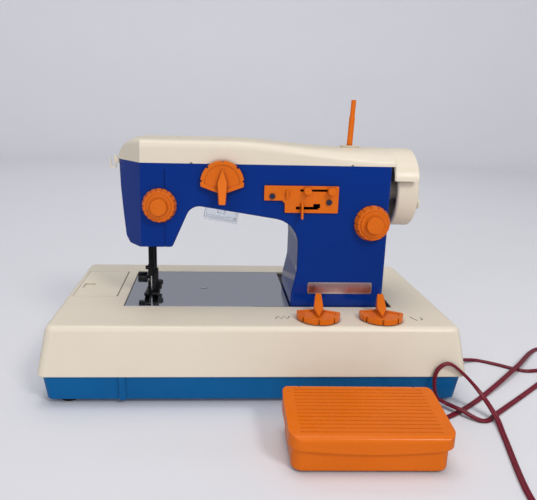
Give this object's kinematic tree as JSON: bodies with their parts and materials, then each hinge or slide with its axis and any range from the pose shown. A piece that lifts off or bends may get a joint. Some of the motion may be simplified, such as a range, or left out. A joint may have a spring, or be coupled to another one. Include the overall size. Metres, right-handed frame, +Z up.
{
  "type": "toy sewing machine",
  "caption": "Toy sewing machine on a low base, with arm, handwheel, needle and presser bars, knobs, dials, hinged bin lid and a foot pedal on a lead.",
  "frame": {"origin": "on the floor under the middle of the machine and its pedal, the lead left out", "axes": "+X along the base towards the handwheel, +Y from the pedal towards the machine's back, +Z up"},
  "size_m": [0.4852, 0.3516, 0.2382],
  "materials": {
    "cream_plastic": "smooth moulded gloss",
    "blue_plastic": "smooth moulded gloss",
    "tray_plastic": "smooth moulded satin",
    "orange_plastic": "smooth moulded satin",
    "black_plastic": "moulded matt",
    "polished_plate": "polished",
    "steel": "bright",
    "brass": "bright",
    "rubber": "matt",
    "clear_plastic": "clear moulded plastic",
    "cell_jacket": "printed-free wrapped jacket",
    "lead_cover": "soft extruded sheath",
    "label_foil": "foil, left bare"
  },
  "bodies": {
    "machine": {"base_shell": "cream_plastic", "base_tray": "tray_plastic", "rubber_feet": "rubber", "bed_frame": "black_plastic", "bed_plate": "polished_plate", "accessory_bin": "cream_plastic", "arm_front": "blue_plastic", "arm_rear": "blue_plastic", "face_plate": "blue_plastic", "top_cover": "cream_plastic", "wheel_hood": "cream_plastic", "shaft_frame": "black_plastic", "bar_guides": "black_plastic", "motor": "steel", "drive_belts": "rubber", "battery_cells": "cell_jacket", "battery_contacts": "brass", "battery_door": "tray_plastic", "slide_plate": "orange_plastic", "screws": "steel", "spool_pin": "orange_plastic", "thread_guide": "cream_plastic", "lamp_lens": "clear_plastic", "lamp_bulb": "clear_plastic", "label_plate": "label_foil", "machine_gland": "black_plastic", "pedal_tray": "orange_plastic", "pedal_pin": "steel", "pedal_contacts": "brass", "pedal_gland": "black_plastic", "presser_spring": "steel", "pedal_spring": "steel", "lead": "lead_cover"},
    "drive_shaft": {"main_shaft": "steel", "handwheel": "cream_plastic", "finger_knob": "cream_plastic", "crank_disc": "steel", "shaft_pulleys": "cream_plastic"},
    "motor_rotor": {"motor_pulley": "brass"},
    "looper_shaft": {"lower_shaft": "steel", "looper_hook": "steel"},
    "needle_slider": {"needle_bar": "black_plastic", "needle_clamp": "black_plastic", "needle": "steel"},
    "presser_slider": {"presser_bar": "black_plastic", "presser_foot": "black_plastic", "presser_screw": "black_plastic"},
    "lifter": {"presser_lifter": "black_plastic"},
    "feed": {"feed_dog": "steel"},
    "tension": {"tension_knob": "orange_plastic"},
    "stitch_length": {"stitch_knob": "orange_plastic"},
    "pattern_dial": {"stitch_dial": "orange_plastic"},
    "base_dial_left": {"left_dial": "orange_plastic"},
    "base_dial_right": {"right_dial": "orange_plastic"},
    "lever": {"slide_lever": "orange_plastic"},
    "peg_left": {"left_peg": "orange_plastic"},
    "peg_right": {"right_peg": "orange_plastic"},
    "bin_lid": {"accessory_lid": "cream_plastic"},
    "pedal_tread": {"pedal_lid": "orange_plastic"}
  },
  "joints": [
    {"name": "shaft_spin", "type": "hinge", "parent": "machine", "child": "drive_shaft", "pos_m": [0, 0.03886, 0.162], "axis": [1, 0, 0], "continuous": true},
    {"name": "motor_spin", "type": "hinge", "parent": "machine", "child": "motor_rotor", "pos_m": [0, 0.03886, 0.1], "axis": [1, 0, 0], "continuous": true},
    {"name": "lower_spin", "type": "hinge", "parent": "machine", "child": "looper_shaft", "pos_m": [0, 0.03886, 0.046], "axis": [1, 0, 0], "continuous": true},
    {"name": "needle_slide", "type": "slide", "parent": "machine", "child": "needle_slider", "axis": [0, 0, 1], "range_m": [-0.006, 0.012]},
    {"name": "lifter_turn", "type": "hinge", "parent": "machine", "child": "lifter", "pos_m": [-0.08, 0.04686, 0.13], "axis": [0, 1, 0], "range_deg": [0, 80]},
    {"name": "presser_slide", "type": "slide", "parent": "machine", "child": "presser_slider", "axis": [0, 0, 1], "range_m": [0, 0.006], "deforming": ["presser_spring"]},
    {"name": "feed_slide", "type": "slide", "parent": "machine", "child": "feed", "axis": [0, 1, 0], "range_m": [-0.0015, 0.0015]},
    {"name": "tension_turn", "type": "hinge", "parent": "machine", "child": "tension", "pos_m": [-0.0782, 0.00386, 0.1511], "axis": [0, 1, 0], "range_deg": [-150, 150]},
    {"name": "stitch_turn", "type": "hinge", "parent": "machine", "child": "stitch_length", "pos_m": [0.0984, 0.00386, 0.1385], "axis": [0, 1, 0], "range_deg": [-135, 135]},
    {"name": "dial_turn", "type": "hinge", "parent": "machine", "child": "pattern_dial", "pos_m": [-0.0273, 0.00386, 0.171], "axis": [0, 1, 0], "range_deg": [-60, 60]},
    {"name": "left_dial_turn", "type": "hinge", "parent": "machine", "child": "base_dial_left", "pos_m": [0.0518, -0.02614, 0.065], "axis": [0, 0, 1], "range_deg": [-45, 45]},
    {"name": "right_dial_turn", "type": "hinge", "parent": "machine", "child": "base_dial_right", "pos_m": [0.1035, -0.02614, 0.065], "axis": [0, 0, 1], "range_deg": [-45, 45]},
    {"name": "lever_slide", "type": "slide", "parent": "machine", "child": "lever", "axis": [1, 0, 0], "range_m": [-0.0025, 0.01]},
    {"name": "left_peg_slide", "type": "slide", "parent": "machine", "child": "peg_left", "axis": [1, 0, 0], "range_m": [-0.004, 0.005]},
    {"name": "right_peg_slide", "type": "slide", "parent": "machine", "child": "peg_right", "axis": [1, 0, 0], "range_m": [-0.008, 0]},
    {"name": "lid_open", "type": "hinge", "parent": "machine", "child": "bin_lid", "pos_m": [-0.1202, 0.04686, 0.0638], "axis": [0, 1, 0], "range_deg": [0, 95]},
    {"name": "pedal_press", "type": "hinge", "parent": "machine", "child": "pedal_tread", "pos_m": [0.07114, -0.09325, 0.024], "axis": [0.9998, -0.0201, 0], "range_deg": [0, 5], "stiffness_Nm_per_rad": 0.6, "springref_deg": -6.88, "deforming": ["pedal_spring"]}
  ],
  "couplings": [
    {"joint": "motor_spin", "follows": "shaft_spin", "ratio": 4},
    {"joint": "lower_spin", "follows": "shaft_spin", "ratio": 1},
    {"joint": "presser_slide", "follows": "lifter_turn", "m_per_rad": 0.00425}
  ]
}
